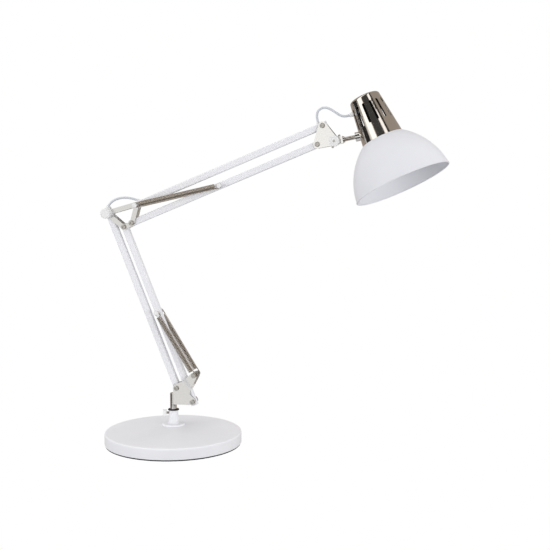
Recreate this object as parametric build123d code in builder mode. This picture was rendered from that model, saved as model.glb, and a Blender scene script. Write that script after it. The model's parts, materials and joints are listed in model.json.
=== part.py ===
"""Balanced-arm desk lamp: round weighted base, two sprung parallelogram arms, tilting dome head.

The frame is in millimetres with +Z up. The origin lies on the base's underside, on the axis
that the arm swivels about. The arms stand in the XZ plane and reach towards +X.
"""

import os
from math import cos, hypot, pi, radians, sin, tan

from build123d import *

os.makedirs("parts", exist_ok=True)

# Base
base_diameter = 200.0
base_height = 18.0
base_offset = 38.0
base_turn = 15.4
base_edge_round = 2.5
cover_sheet = 1.2
pad_thickness = 2.0
pad_inset = 1.0
weight_gap = 0.3

# Stem socket and spigot
spigot_radius = 5.0
spigot_top = 66.5
spigot_chamfer = 0.6
socket_height = 24.0
socket_radius = 7.0
socket_floor = 1.5
flange_radius = 17.0
flange_thickness = 2.5
flange_round = 3.0
shank_radius = 6.0
shank_drop = 11.0
liner_wall = 0.7
liner_lip_radius = 8.3
liner_lip = 1.5
socket_nut_radius = 10.0
socket_nut_height = 5.0
nut_pocket_radius = 14.0
thumb_drop = 6.0
thumb_shank_radius = 2.0
thumb_knob_radius = 5.5
thumb_knob_start = 10.5
thumb_knob_length = 5.3

# Arms
tube_width = 9.5
tube_wall = 0.9
tube_corner = 1.6
tube_over = 6.0
rear_tube_top_over = 7.0
elbow_end_over = 4.0
lower_arm = 280.0
lower_lean = 21.6
upper_arm = 300.0
upper_rise = 22.4
bracket_rear_pivot = Vector(6.7, 0, 74.7)
bracket_pivot_step = Vector(24.6, 0, -20.0)
elbow_step = Vector(36.5, 0, -14.0)
elbow_pivot_step = Vector(7.2, 0, 26.4)
tilt_step = Vector(24.8, 0, 4.5)

# Plates and pivots
plate_thickness = 1.6
plate_clearance = 0.3
bolt_radius = 1.9
running_clearance = 0.05
bolt_head_radius = 3.7
bolt_head_height = 2.4
nut_radius = 4.0
nut_height = 3.0
bolt_end = 1.5
bracket_margin = 5.5
bracket_left = 1.3
bracket_drop = 4.6
shoulder_rise = 7.0
shoulder_drop = 3.5
fold_start_step = Vector(10.7, 0, 11.7)
fold_end_step = Vector(21.4, 0, -2.3)
toe_step = Vector(4.0, 0, 4.5)
notch_step = Vector(-1.0, 0, -6.0)
ear_front_step = Vector(3.2, 0, -4.0)
ear_tip_step = Vector(4.4, 0, 1.0)
ear_top_step = Vector(1.0, 0, 4.4)
ear_back_step = Vector(-4.5, 0, 3.0)
bracket_corner = 1.4
arm_joggle = 2.55
arm_joggle_run = 6.0
sheet_reach = 80.0
elbow_margin = 4.6
elbow_bar = 2.6
elbow_corner = 1.2
head_margin = 5.8
wing_span = 22.0
wing_width = 3.0
wing_turn = 60.0

# Springs
spring_lateral = 12.0
spring_radius = 3.3
wire_radius = 0.7
spring_turns = 25
eye_slack = 0.3
eye_lead = 7.0
straight_enough = 0.99999
hook_pin_radius = 1.9
hook_pin_head_radius = 3.4
hook_pin_head = 1.2
lower_hook = Vector(34.8, 0, 95.5)
lower_pin_reach = 143.5
upper_pin_reach = 146.0

# Cables
cable_radius = 1.7
wire_core_radius = 0.85
bush_wall = 0.9
bush_stand = 2.5
inlet_reach = 32.0
plug_head = 1.5
plug_depth = 3.5
plug_slack = 0.05
plug_gap = 4.6
plug_spout = 3.6
plug_spout_angle = 62.0
elbow_bush_reach = 4.5
elbow_bush_angle = -22.0
head_bush_back = 5.2
head_bush_angle = 104.0
inner_cable_gap = 6.5

# Knobs
clamp_knob_radius = 7.8
clamp_knob_length = 11.0
knob_crown = 1.5
knob_crown_taper = 30.0
tilt_knob_radius = 7.8
tilt_knob_length = 8.0
flute_count = 12
flute_radius = 1.0

# Head
rod_rise = 11.0
rod_radius = 3.0
rod_reach = 64.0
head_roll = 8.0
head_lean = 14.25
knuckle_length = 11.5
knuckle_round = 5.2
rod_start = 3.4
collar_radius = 4.4
collar_length = 2.2
boss_radius = 6.6
boss_length = 5.0
rod_past_wall = 7.0
rod_nut_radius = 5.6
rod_nut_past_wall = 5.5
cap_bottom_radius = 30.0
cap_top_radius = 21.8
cap_bottom = -11.0
cap_top = 54.6
cap_sheet = 1.2
cap_edge_round = 3.5
slot_count = 14
slot_width = 3.6
slot_bottom = 12.6
slot_top = 42.6
shade_radius = 70.0
neck_height = 5.0
sheet_gap = 0.3
shade_rim = -80.7
shade_sheet = 1.2
shade_shoulder = 0.8
shade_mid_radius = 55.0
shade_mid = -37.0
rim_bead = 1.1
holder_radius = 19.0
holder_bore = 13.4
holder_neck_radius = 15.5
holder_shoulder = 8.0
holder_top = 46.0
holder_chamfer = 3.0
holder_mouth = -16.0
holder_depth = 32.0
holder_flange = 22.0
holder_flange_height = 3.0
ring_radius = 23.0
ring_height = 5.0
shell_wall = 0.4
shell_short = 4.0
contact_radius = 3.0
contact_height = 2.5
contact_round = 0.8
grommet_angle = 15.0
grommet_height = 38.5
grommet_radius = 3.5
grommet_lift = 0.8
grommet_length = 5.0
grommet_taper = 12.0
grommet_tail = 3.6

# Places worked out from the sizes
base_radius = base_diameter / 2
base_out = Vector(sin(radians(base_turn)), -cos(radians(base_turn)), 0)
base_side = Vector(-cos(radians(base_turn)), -sin(radians(base_turn)), 0)
base_centre = base_out * base_offset
socket_top = base_height + socket_height
plate_inner = tube_width / 2 + plate_clearance
plate_outer = plate_inner + plate_thickness
tube_bore = tube_width - 2 * tube_wall
hole_radius = bolt_radius + running_clearance

lower_along = Vector(-sin(radians(lower_lean)), 0, cos(radians(lower_lean)))
upper_along = Vector(cos(radians(upper_rise)), 0, sin(radians(upper_rise)))
upper_normal = Vector(-upper_along.Z, 0, upper_along.X)
bracket_rear = bracket_rear_pivot
bracket_front = bracket_rear + bracket_pivot_step
elbow_rear = bracket_rear + lower_along * lower_arm
elbow_front = elbow_rear + bracket_pivot_step
elbow_bottom = elbow_rear + elbow_step
elbow_top = elbow_bottom + elbow_pivot_step
head_top = elbow_top + upper_along * upper_arm
head_bottom = elbow_bottom + upper_along * upper_arm
tilt_pivot = head_bottom + tilt_step
lower_pin = bracket_front + lower_along * lower_pin_reach
upper_pin = elbow_bottom + upper_along * upper_pin_reach

across = Vector(0, 1, 0)
rod_along = Vector(cos(radians(rod_rise)), 0, sin(radians(rod_rise)))
rod_down = Vector(sin(radians(rod_rise)), 0, -cos(radians(rod_rise)))
rolled_down = rod_down * cos(radians(head_roll)) - across * sin(radians(head_roll))
shade_axis = rolled_down * cos(radians(head_lean)) + rod_along * sin(radians(head_lean))
head_up = shade_axis * -1
head_origin = tilt_pivot + rod_along * rod_reach
rod_side = (shade_axis * shade_axis.dot(rod_along) - rod_along).normalized()
head_level = Plane(origin=head_origin, x_dir=rod_side, z_dir=head_up)
head_section = Plane(origin=head_origin, x_dir=rod_side, z_dir=rod_side.cross(head_up))
head_axis = Axis(head_origin, head_up)


def flat(*points):
    """XZ coordinates of points that lie in the arm plane."""
    return [(p.X, p.Z) for p in points]


def finish(piece, name):
    """Label a finished piece and write its file."""
    piece.part.label = name
    export_step(piece.part, f"parts/{name}.step")


def square_tube(start, end, start_over, end_over):
    """Square tube past two pivots, with a cross hole at each."""
    along = (end - start).normalized()
    with BuildPart() as tube:
        with BuildSketch(Plane(origin=start - along * start_over, x_dir=across, z_dir=along)):
            RectangleRounded(tube_width, tube_width, tube_corner)
            RectangleRounded(tube_bore, tube_bore, tube_corner - tube_wall, mode=Mode.SUBTRACT)
        extrude(amount=(end - start).length + start_over + end_over)
        with BuildSketch(Plane.XZ):
            with Locations(flat(start, end)):
                Circle(hole_radius)
        extrude(amount=tube_width, both=True, mode=Mode.SUBTRACT)
    return tube.part


def bolts(pivots, near_face, far_face):
    """Pan-head bolts along Y, heads on the near side, ends past the nuts on the far side."""
    with BuildPart() as group:
        with BuildSketch(Plane.XZ.offset(near_face)):
            with Locations(flat(*pivots)):
                Circle(bolt_head_radius)
        extrude(amount=bolt_head_height)
        fillet(group.faces().sort_by(Axis.Y)[: len(pivots)].edges(), bolt_head_height / 3)
        with BuildSketch(Plane.XZ.offset(near_face + bolt_head_height)):
            with Locations(flat(*pivots)):
                RegularPolygon(bolt_radius, 6)
        extrude(amount=-bolt_head_height / 2, mode=Mode.SUBTRACT)
        with BuildSketch(Plane.XZ.offset(near_face)):
            with Locations(flat(*pivots)):
                Circle(bolt_radius)
        extrude(amount=-(near_face + far_face + nut_height + bolt_end))
    return group.part


def nuts(pivots, far_face):
    """Hex nuts against the far side."""
    with BuildPart() as group:
        with BuildSketch(Plane.XZ.offset(-far_face)):
            with Locations(flat(*pivots)):
                RegularPolygon(nut_radius, 6)
            with Locations(flat(*pivots)):
                Circle(hole_radius, mode=Mode.SUBTRACT)
        extrude(amount=-nut_height)
    return group.part


def fluted(plane, radius, length, bore):
    """Fluted knob standing on a plane, with a through bore."""
    with BuildPart() as knob:
        with BuildSketch(plane):
            Circle(radius)
            with PolarLocations(radius + flute_radius / 3, flute_count):
                Circle(flute_radius, mode=Mode.SUBTRACT)
            Circle(bore, mode=Mode.SUBTRACT)
        extrude(amount=length)
    return knob.part


def biarc_joint(start, start_way, end, end_way):
    """Meeting point of two tangent arcs between two placed directions, and the way there."""
    step = end - start
    turn = 2 * (1 - start_way.dot(end_way))
    side = step.dot(start_way + end_way)
    reach = ((side * side + turn * step.dot(step)) ** 0.5 - side) / turn
    first = start + start_way * reach
    second = end - end_way * reach
    return (first + second) * 0.5, (second - first).normalized()


def wire_tube(stations):
    """Round wire through placed directions, on straight runs and tangent arcs, and its centre line."""
    with BuildPart() as tube:
        with BuildLine() as line:
            for (p, p_way), (q, q_way) in zip(stations, stations[1:]):
                chord = (q - p).normalized()
                if min(p_way.dot(q_way), p_way.dot(chord)) > straight_enough:
                    Line(p, q)
                else:
                    middle, middle_way = biarc_joint(p, p_way, q, q_way)
                    TangentArc(p, middle, tangent=p_way)
                    TangentArc(middle, q, tangent=middle_way)
        with BuildSketch(Plane(origin=stations[0][0], z_dir=stations[0][1])):
            Circle(wire_radius)
        sweep(path=line.wires()[0])
    return tube.part, line.wires()[0]


def spring(start, end, lateral):
    """Tension spring between two pins: the wound wire with its first eye, and the eye at its far end."""
    length = (end - start).length
    along = (end - start).normalized()
    side = along.cross(across)
    origin = start + across * lateral
    eye_shift = spring_radius - wire_radius - hook_pin_radius - eye_slack
    wire_diameter = 2 * wire_radius
    pitch = (length - 2 * eye_lead) / spring_turns

    def station(point, way):
        place = origin + along * point[0] + side * point[1] + across * point[2]
        return place, (along * way[0] + side * way[1] + across * way[2]).normalized()

    def eye(centre, turns):
        ring = []
        for turn in turns:
            c, s = cos(radians(turn)), sin(radians(turn))
            ring.append(station((centre + spring_radius * c, spring_radius * s, 0), (-s, c, 0)))
        return ring

    def lead(reach):
        return station((reach, -spring_radius, 0), (1, 0, 0))

    first_eye = eye(eye_shift, (60, 130, 200, 270))
    tail = (first_eye[0][0] - first_eye[0][1] * wire_diameter, first_eye[0][1])
    turns = []
    for quarter in range(1, 4 * spring_turns):
        b = quarter * pi / 2
        point = (eye_lead + pitch * quarter / 4, -spring_radius * cos(b), spring_radius * sin(b))
        turns.append(station(point, (pitch / (2 * pi), spring_radius * sin(b), spring_radius * cos(b))))
    coil_end = length - eye_lead + wire_diameter
    coil = [tail, *first_eye, lead(eye_lead - wire_diameter), *turns, lead(coil_end)]
    coil.append(lead(coil_end + wire_diameter))

    last_eye = eye(length - eye_shift, (270, 340, 410, 480))
    end_tail = (last_eye[-1][0] + last_eye[-1][1] * wire_diameter, last_eye[-1][1])
    loop = [lead(coil_end + wire_diameter + running_clearance), *last_eye, end_tail]
    wound, wound_line = wire_tube(coil)
    return wound, wound_line, wire_tube(loop)[0]


def least_self_gap(wire):
    """Least clear distance between two stretches of one wire, measured on points along it."""
    count = 3000
    step = wire.length / count
    apart = int(4 * spring_radius / step)
    points = [wire @ (i / count) for i in range(count + 1)]
    least = 1e9
    for i in range(0, count - apart, 3):
        for j in range(i + apart, min(i + 6 * apart, count + 1)):
            gap = hypot(points[i].X - points[j].X, points[i].Y - points[j].Y, points[i].Z - points[j].Z)
            least = min(least, gap)
    return least - 2 * wire_radius


def cord_radii(points):
    """Radius of each corner of a cable route, as large as its two runs allow."""
    radii = []
    for a, b, c in zip(points, points[1:], points[2:]):
        turn = (b - a).get_angle(c - b)
        run = min((b - a).length, (c - b).length)
        radii.append(0.45 * run / tan(radians(turn / 2)))
    return radii


def cord(points, name):
    """Round cable along straight runs joined by tangent arcs."""
    radii = cord_radii(points)
    with BuildPart() as tube:
        with BuildLine() as route:
            FilletPolyline(*points, radius=radii)
        with BuildSketch(Plane(origin=points[0], z_dir=points[1] - points[0])):
            Circle(cable_radius)
        sweep(path=route.wires()[0])
    expected = pi * cable_radius**2 * route.wires()[0].length
    print(name, "radii", [round(r, 1) for r in radii], "volume share", round(tube.part.volume / expected, 4))
    return tube.part


# Base: pad, iron weight, sheet cover
with BuildPart() as base_pad:
    with BuildSketch():
        with Locations((base_centre.X, base_centre.Y)):
            Circle(base_radius - pad_inset)
    extrude(amount=pad_thickness)
finish(base_pad, "base_pad")

with BuildPart() as base_cover:
    with BuildSketch(Plane.XY.offset(pad_thickness)):
        with Locations((base_centre.X, base_centre.Y)):
            Circle(base_radius)
    extrude(amount=base_height - pad_thickness)
    fillet(base_cover.faces().sort_by(Axis.Z)[-1].edges(), base_edge_round)
    with BuildSketch(Plane.XY.offset(pad_thickness)):
        with Locations((base_centre.X, base_centre.Y)):
            Circle(base_radius - cover_sheet)
    extrude(amount=base_height - pad_thickness - cover_sheet, mode=Mode.SUBTRACT)
    with BuildSketch(Plane.XY.offset(base_height - cover_sheet)):
        Circle(shank_radius + running_clearance)
    extrude(amount=cover_sheet, mode=Mode.SUBTRACT)
finish(base_cover, "base_cover")

with BuildPart() as base_weight:
    with BuildSketch(Plane.XY.offset(pad_thickness)):
        with Locations((base_centre.X, base_centre.Y)):
            Circle(base_radius - cover_sheet - weight_gap)
        Circle(nut_pocket_radius, mode=Mode.SUBTRACT)
    extrude(amount=base_height - cover_sheet - pad_thickness)
finish(base_weight, "base_weight")

# Stem socket, its liner and nut
liner_outer = spigot_radius + running_clearance + liner_wall
socket_bore = liner_outer + running_clearance
bore_bottom = base_height + socket_floor
thumb_height = socket_top - thumb_drop
thumb_plane = Plane(origin=(0, 0, thumb_height), x_dir=(0, 0, 1), z_dir=base_side)

with BuildPart() as stem_socket:
    with BuildSketch(Plane.XZ):
        with BuildLine():
            Polyline(
                (0, base_height - shank_drop),
                (shank_radius, base_height - shank_drop),
                (shank_radius, base_height),
                (flange_radius, base_height),
                (flange_radius, base_height + flange_thickness),
                (socket_radius, base_height + flange_thickness),
                (socket_radius, socket_top - liner_lip),
                (socket_bore, socket_top - liner_lip),
                (socket_bore, bore_bottom),
                (0, bore_bottom),
                close=True,
            )
        make_face()
    revolve(axis=Axis.Z)
    rims = stem_socket.edges().filter_by(GeomType.CIRCLE).filter_by(
        lambda e: abs(e.center().Z - base_height - flange_thickness) < 0.01
    )
    fillet(rims.sort_by(SortBy.RADIUS)[0], flange_round)
    rims = stem_socket.edges().filter_by(GeomType.CIRCLE).filter_by(
        lambda e: abs(e.center().Z - base_height - flange_thickness) < 0.01
    )
    fillet(rims.sort_by(SortBy.RADIUS)[-1], flange_thickness / 2)
    with BuildSketch(thumb_plane):
        Circle(thumb_shank_radius + running_clearance)
    extrude(amount=2 * socket_radius, mode=Mode.SUBTRACT)
finish(stem_socket, "stem_socket")

with BuildPart() as socket_liner:
    with BuildSketch(Plane.XZ):
        with BuildLine():
            Polyline(
                (0, bore_bottom),
                (liner_outer, bore_bottom),
                (liner_outer, socket_top - liner_lip),
                (liner_lip_radius, socket_top - liner_lip),
                (liner_lip_radius, socket_top),
                (spigot_radius + running_clearance, socket_top),
                (spigot_radius + running_clearance, bore_bottom + liner_wall),
                (0, bore_bottom + liner_wall),
                close=True,
            )
        make_face()
    revolve(axis=Axis.Z)
    fillet(socket_liner.faces().sort_by(Axis.Z)[-1].outer_wire().edges(), liner_lip / 3)
    with BuildSketch(thumb_plane):
        Circle(thumb_shank_radius + running_clearance)
    extrude(amount=2 * socket_radius, mode=Mode.SUBTRACT)
finish(socket_liner, "socket_liner")

with BuildPart() as socket_nut:
    with BuildSketch(Plane.XY.offset(base_height - cover_sheet)):
        RegularPolygon(socket_nut_radius, 6)
        Circle(shank_radius + running_clearance, mode=Mode.SUBTRACT)
    extrude(amount=-socket_nut_height)
finish(socket_nut, "socket_nut")

# Thumbscrew that holds the spigot
with BuildPart() as thumbscrew_knob:
    add(fluted(thumb_plane.offset(thumb_knob_start), thumb_knob_radius, thumb_knob_length,
               thumb_shank_radius))
finish(thumbscrew_knob, "thumbscrew_knob")

with BuildPart() as thumbscrew_shank:
    with BuildSketch(thumb_plane.offset(spigot_radius + 2 * running_clearance)):
        Circle(thumb_shank_radius)
    extrude(amount=thumb_knob_start + thumb_knob_length - spigot_radius - 2 * running_clearance)
finish(thumbscrew_shank, "thumbscrew_shank")

# Spigot and bracket plates
with BuildPart() as spigot:
    with BuildSketch(Plane.XY.offset(bore_bottom + liner_wall + running_clearance)):
        Circle(spigot_radius)
    extrude(amount=spigot_top - bore_bottom - liner_wall - running_clearance)
    chamfer(spigot.faces().sort_by(Axis.Z)[-1].edges(), spigot_chamfer)
finish(spigot, "spigot")

fold_start = bracket_rear + fold_start_step
fold_end = bracket_rear + fold_end_step
fold_along = (fold_end - fold_start).normalized()
fold_out = Vector(-fold_along.Z, 0, fold_along.X)
fold_plane = Plane(origin=(fold_start + fold_end) * 0.5, x_dir=fold_out, z_dir=fold_along)
fold_side = 1 if fold_plane.y_dir.Y < 0 else -1
bracket_foot = Vector(0, 0, -bracket_drop)

with BuildPart() as bracket_near_plate:
    with BuildSketch(fold_plane):
        with BuildLine():
            Polyline(
                (-sheet_reach, fold_side * plate_inner),
                (0, fold_side * plate_inner),
                (arm_joggle_run, fold_side * (plate_inner + arm_joggle)),
                (sheet_reach, fold_side * (plate_inner + arm_joggle)),
                (sheet_reach, fold_side * (plate_outer + arm_joggle)),
                (arm_joggle_run, fold_side * (plate_outer + arm_joggle)),
                (0, fold_side * plate_outer),
                (-sheet_reach, fold_side * plate_outer),
                close=True,
            )
        make_face()
    extrude(amount=sheet_reach, both=True)
    with BuildSketch(Plane.XZ):
        with BuildLine():
            front_edge = flat(
                bracket_front + bracket_foot,
                bracket_front + Vector(bracket_margin, 0, 0),
                bracket_front + toe_step,
                fold_end + notch_step,
                fold_end,
            )
            ear_edge = flat(
                lower_hook + ear_front_step,
                lower_hook + ear_tip_step,
                lower_hook + ear_top_step,
                lower_hook + ear_back_step,
                fold_start,
            )
            Polyline(
                (bracket_left, bracket_front.Z - bracket_drop),
                *front_edge,
                *ear_edge,
                (bracket_rear.X, bracket_rear.Z + shoulder_rise),
                (bracket_left, bracket_rear.Z + shoulder_drop),
                close=True,
            )
        outline = make_face()
        fillet(outline.vertices(), bracket_corner)
    extrude(amount=sheet_reach, both=True, mode=Mode.INTERSECT)
    with BuildSketch(Plane.XZ):
        with Locations(flat(bracket_rear, bracket_front, lower_hook)):
            Circle(hole_radius)
    extrude(amount=sheet_reach, both=True, mode=Mode.SUBTRACT)
finish(bracket_near_plate, "bracket_near_plate")

with BuildPart() as bracket_far_plate:
    mirror(bracket_near_plate.part, about=Plane.XZ)
finish(bracket_far_plate, "bracket_far_plate")

with BuildPart() as bracket_bolts:
    add(bolts([bracket_rear, bracket_front], plate_outer, plate_outer))
finish(bracket_bolts, "bracket_bolts")

with BuildPart() as bracket_nuts:
    add(nuts([bracket_rear, bracket_front], plate_outer))
finish(bracket_nuts, "bracket_nuts")

# Rivets on the bracket's arms that carry the lower springs
arm_inner = plate_inner + arm_joggle
hook_end = spring_lateral + wire_radius + running_clearance
with BuildPart() as lower_spring_rivets:
    with BuildSketch(Plane.XZ.offset(arm_inner)):
        with Locations(flat(lower_hook)):
            Circle(hook_pin_radius)
    extrude(amount=hook_end + hook_pin_head - arm_inner)
    with BuildSketch(Plane.XZ.offset(hook_end)):
        with Locations(flat(lower_hook)):
            Circle(hook_pin_head_radius)
    extrude(amount=hook_pin_head)
    mirror(about=Plane.XZ)
finish(lower_spring_rivets, "lower_spring_rivets")


def cross_pin(centre):
    """Pin along Y through an arm tube or the elbow, with a head at each end."""
    with BuildPart() as pin:
        with BuildSketch(Plane.XZ):
            with Locations(flat(centre)):
                Circle(hook_pin_radius)
        extrude(amount=hook_end, both=True)
        with BuildSketch(Plane.XZ.offset(hook_end)):
            with Locations(flat(centre)):
                Circle(hook_pin_head_radius)
        extrude(amount=hook_pin_head)
        with BuildSketch(Plane.XZ.offset(-hook_end)):
            with Locations(flat(centre)):
                Circle(hook_pin_head_radius)
        extrude(amount=-hook_pin_head)
    return pin.part


# Lower arm: rear tube with the wires, front tube with the spring pin
with BuildPart() as rear_tube:
    add(square_tube(bracket_rear, elbow_rear, tube_over, rear_tube_top_over))
    inlet_centre = bracket_rear + lower_along * inlet_reach
    with BuildSketch(Plane.XZ):
        with Locations(flat(inlet_centre)):
            Circle(cable_radius + bush_wall + running_clearance)
    extrude(amount=-tube_width, mode=Mode.SUBTRACT)
finish(rear_tube, "rear_tube")

with BuildPart() as inlet_grommet:
    with BuildSketch(Plane.XZ.offset(-(tube_width / 2 - tube_wall))):
        with Locations(flat(inlet_centre)):
            Circle(cable_radius + bush_wall)
            Circle(cable_radius, mode=Mode.SUBTRACT)
    extrude(amount=-(tube_wall + bush_stand))
    with BuildSketch(Plane.XZ.offset(-tube_width / 2)):
        with Locations(flat(inlet_centre)):
            Circle(cable_radius + 2 * bush_wall)
            Circle(cable_radius, mode=Mode.SUBTRACT)
    extrude(amount=-bush_wall)
finish(inlet_grommet, "inlet_grommet")

rear_top = elbow_rear + lower_along * rear_tube_top_over
plug_plane = Plane(origin=rear_top, x_dir=across, z_dir=lower_along)
plug_skirt = tube_bore - 2 * plug_slack
spout_way = Vector(cos(radians(plug_spout_angle)), 0, sin(radians(plug_spout_angle)))
spout_start = rear_top + lower_along * plug_head / 2
spout_plane = Plane(origin=spout_start, x_dir=across, z_dir=spout_way)
with BuildPart() as rear_tube_plug:
    with BuildSketch(plug_plane):
        RectangleRounded(tube_width, tube_width, tube_corner)
    extrude(amount=plug_head)
    with BuildSketch(plug_plane):
        RectangleRounded(plug_skirt, plug_skirt, tube_corner - tube_wall)
        Rectangle(plug_gap, tube_bore, mode=Mode.SUBTRACT)
    extrude(amount=-plug_depth)
    with BuildSketch(spout_plane):
        Circle(cable_radius + bush_wall)
    extrude(amount=plug_spout)
    with BuildSketch(spout_plane):
        Circle(cable_radius + running_clearance)
    extrude(amount=tube_width, both=True, mode=Mode.SUBTRACT)
finish(rear_tube_plug, "rear_tube_plug")

wire_spacing = tube_bore / 2 - wire_core_radius - running_clearance
wires_plane = Plane(origin=inlet_centre, x_dir=across, z_dir=lower_along)
with BuildPart() as rear_tube_wires:
    with BuildSketch(wires_plane):
        with GridLocations(1, 2 * wire_spacing, 1, 2):
            Circle(wire_core_radius)
    extrude(amount=(rear_top - inlet_centre).length - plug_depth)
finish(rear_tube_wires, "rear_tube_wires")

with BuildPart() as front_tube:
    add(square_tube(bracket_front, elbow_front, tube_over, elbow_end_over))
    with BuildSketch(Plane.XZ):
        with Locations(flat(lower_pin)):
            Circle(hook_pin_radius)
    extrude(amount=tube_width, both=True, mode=Mode.SUBTRACT)
finish(front_tube, "front_tube")

with BuildPart() as lower_spring_pin:
    add(cross_pin(lower_pin))
finish(lower_spring_pin, "lower_spring_pin")

# Lower and upper springs, one on each side of the arm
for spring_name, hook_at, pin_at in (
    ("lower_spring", lower_hook, lower_pin),
    ("upper_spring", elbow_top, upper_pin),
):
    loops = []
    for side_name, lateral in (("near", -spring_lateral), ("far", spring_lateral)):
        wound, wound_line, loop = spring(hook_at, pin_at, lateral)
        loops.append(loop)
        with BuildPart() as spring_coil:
            add(wound)
        finish(spring_coil, f"{spring_name}_{side_name}")
        print(spring_name, side_name, "least self gap", round(least_self_gap(wound_line), 2))
    with BuildPart() as spring_loops:
        add(loops)
    finish(spring_loops, f"{spring_name}_loops")

# Elbow plates, open triangles between the four pivots
with BuildPart() as elbow_near_plate:
    with BuildSketch(Plane.XZ.offset(plate_inner)) as elbow_outline:
        with Locations(flat(elbow_rear, elbow_front, elbow_bottom, elbow_top)):
            Circle(elbow_margin)
        make_hull(elbow_outline.edges())
    extrude(amount=plate_thickness)
    with BuildSketch(Plane.XZ.offset(plate_inner)):
        with BuildLine():
            Polyline(flat(elbow_rear, elbow_front, elbow_bottom, elbow_top), close=True)
        make_face()
        window = offset(amount=-elbow_bar, kind=Kind.INTERSECTION, mode=Mode.REPLACE)
        fillet(window.vertices(), elbow_corner)
    extrude(amount=plate_thickness, mode=Mode.SUBTRACT)
    with BuildSketch(Plane.XZ):
        with Locations(flat(elbow_rear, elbow_front, elbow_bottom, elbow_top)):
            Circle(elbow_margin)
    extrude(amount=plate_outer)
    with BuildSketch(Plane.XZ):
        with Locations(flat(elbow_rear, elbow_front, elbow_bottom, elbow_top)):
            Circle(elbow_margin)
    extrude(amount=plate_inner, mode=Mode.SUBTRACT)
    with BuildSketch(Plane.XZ):
        with Locations(flat(elbow_rear, elbow_front, elbow_bottom, elbow_top)):
            Circle(hole_radius)
    extrude(amount=plate_outer, mode=Mode.SUBTRACT)
finish(elbow_near_plate, "elbow_near_plate")

with BuildPart() as elbow_far_plate:
    mirror(elbow_near_plate.part, about=Plane.XZ)
finish(elbow_far_plate, "elbow_far_plate")

with BuildPart() as elbow_bolts:
    add(bolts([elbow_front, elbow_bottom], plate_outer, plate_outer))
finish(elbow_bolts, "elbow_bolts")

with BuildPart() as elbow_nuts:
    add(nuts([elbow_rear, elbow_front, elbow_bottom], plate_outer))
finish(elbow_nuts, "elbow_nuts")

with BuildPart() as upper_spring_post:
    add(cross_pin(elbow_top))
finish(upper_spring_post, "upper_spring_post")

# Clamp knob and bolt at the elbow
knob_plane = Plane.XZ.offset(plate_outer + plate_clearance)
knob_centre = Plane(origin=knob_plane.origin + elbow_rear, x_dir=(1, 0, 0), z_dir=(0, -1, 0))
with BuildPart() as elbow_knob:
    add(fluted(knob_centre, clamp_knob_radius, clamp_knob_length, bolt_radius))
    with BuildSketch(knob_centre.offset(clamp_knob_length)):
        Circle(clamp_knob_radius - flute_radius)
    extrude(amount=knob_crown, taper=knob_crown_taper)
finish(elbow_knob, "elbow_knob")

with BuildPart() as elbow_clamp_bolt:
    with BuildSketch(knob_centre.offset(clamp_knob_length)):
        Circle(bolt_radius)
    extrude(amount=-(clamp_knob_length + plate_clearance + 2 * plate_outer + nut_height + bolt_end))
finish(elbow_clamp_bolt, "elbow_clamp_bolt")

# Upper arm: top tube with the cable, bottom tube with the spring pin
elbow_bush_way = Vector(cos(radians(elbow_bush_angle)), 0, sin(radians(elbow_bush_angle)))
head_bush_way = Vector(cos(radians(head_bush_angle)), 0, sin(radians(head_bush_angle)))
elbow_bush_centre = elbow_top + upper_along * elbow_bush_reach + upper_normal * tube_width / 2
head_bush_centre = head_top - upper_along * head_bush_back + upper_normal * tube_width / 2
elbow_bush_plane = Plane(origin=elbow_bush_centre, x_dir=across, z_dir=elbow_bush_way * -1)
head_bush_plane = Plane(origin=head_bush_centre, x_dir=across, z_dir=head_bush_way)
bush_radius = cable_radius + bush_wall

with BuildPart() as top_tube:
    add(square_tube(elbow_top, head_top, tube_over, tube_over))
    for bush_plane in (elbow_bush_plane, head_bush_plane):
        with BuildSketch(bush_plane):
            Circle(bush_radius + running_clearance)
        extrude(amount=tube_width / 3, both=True, mode=Mode.SUBTRACT)
finish(top_tube, "top_tube")

with BuildPart() as cable_bushes:
    for bush_plane in (elbow_bush_plane, head_bush_plane):
        with BuildSketch(bush_plane.offset(-bush_stand)):
            Circle(bush_radius)
            Circle(cable_radius + running_clearance, mode=Mode.SUBTRACT)
        extrude(amount=2 * bush_stand)
finish(cable_bushes, "cable_bushes")

inner_cable_start = elbow_bush_reach + inner_cable_gap
with BuildPart() as top_tube_cable:
    with BuildSketch(Plane(origin=elbow_top + upper_along * inner_cable_start, z_dir=upper_along)):
        Circle(cable_radius)
    extrude(amount=upper_arm - inner_cable_start - head_bush_back)
finish(top_tube_cable, "top_tube_cable")

with BuildPart() as bottom_tube:
    add(square_tube(elbow_bottom, head_bottom, elbow_end_over, tube_over))
    with BuildSketch(Plane.XZ):
        with Locations(flat(upper_pin)):
            Circle(hook_pin_radius)
    extrude(amount=tube_width, both=True, mode=Mode.SUBTRACT)
finish(bottom_tube, "bottom_tube")

with BuildPart() as upper_spring_pin:
    add(cross_pin(upper_pin))
finish(upper_spring_pin, "upper_spring_pin")

# Head bracket plates, bolts, nuts
with BuildPart() as head_near_plate:
    with BuildSketch(Plane.XZ.offset(plate_inner)) as head_outline:
        with Locations(flat(head_top, head_bottom, tilt_pivot)):
            Circle(head_margin)
        make_hull(head_outline.edges())
        with Locations(flat(head_top, head_bottom, tilt_pivot)):
            Circle(hole_radius, mode=Mode.SUBTRACT)
    extrude(amount=plate_thickness)
finish(head_near_plate, "head_near_plate")

with BuildPart() as head_far_plate:
    mirror(head_near_plate.part, about=Plane.XZ)
finish(head_far_plate, "head_far_plate")

with BuildPart() as head_bolts:
    add(bolts([head_top, head_bottom], plate_outer, plate_outer))
finish(head_bolts, "head_bolts")

with BuildPart() as head_nuts:
    add(nuts([head_top, head_bottom], plate_outer))
finish(head_nuts, "head_nuts")

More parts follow.
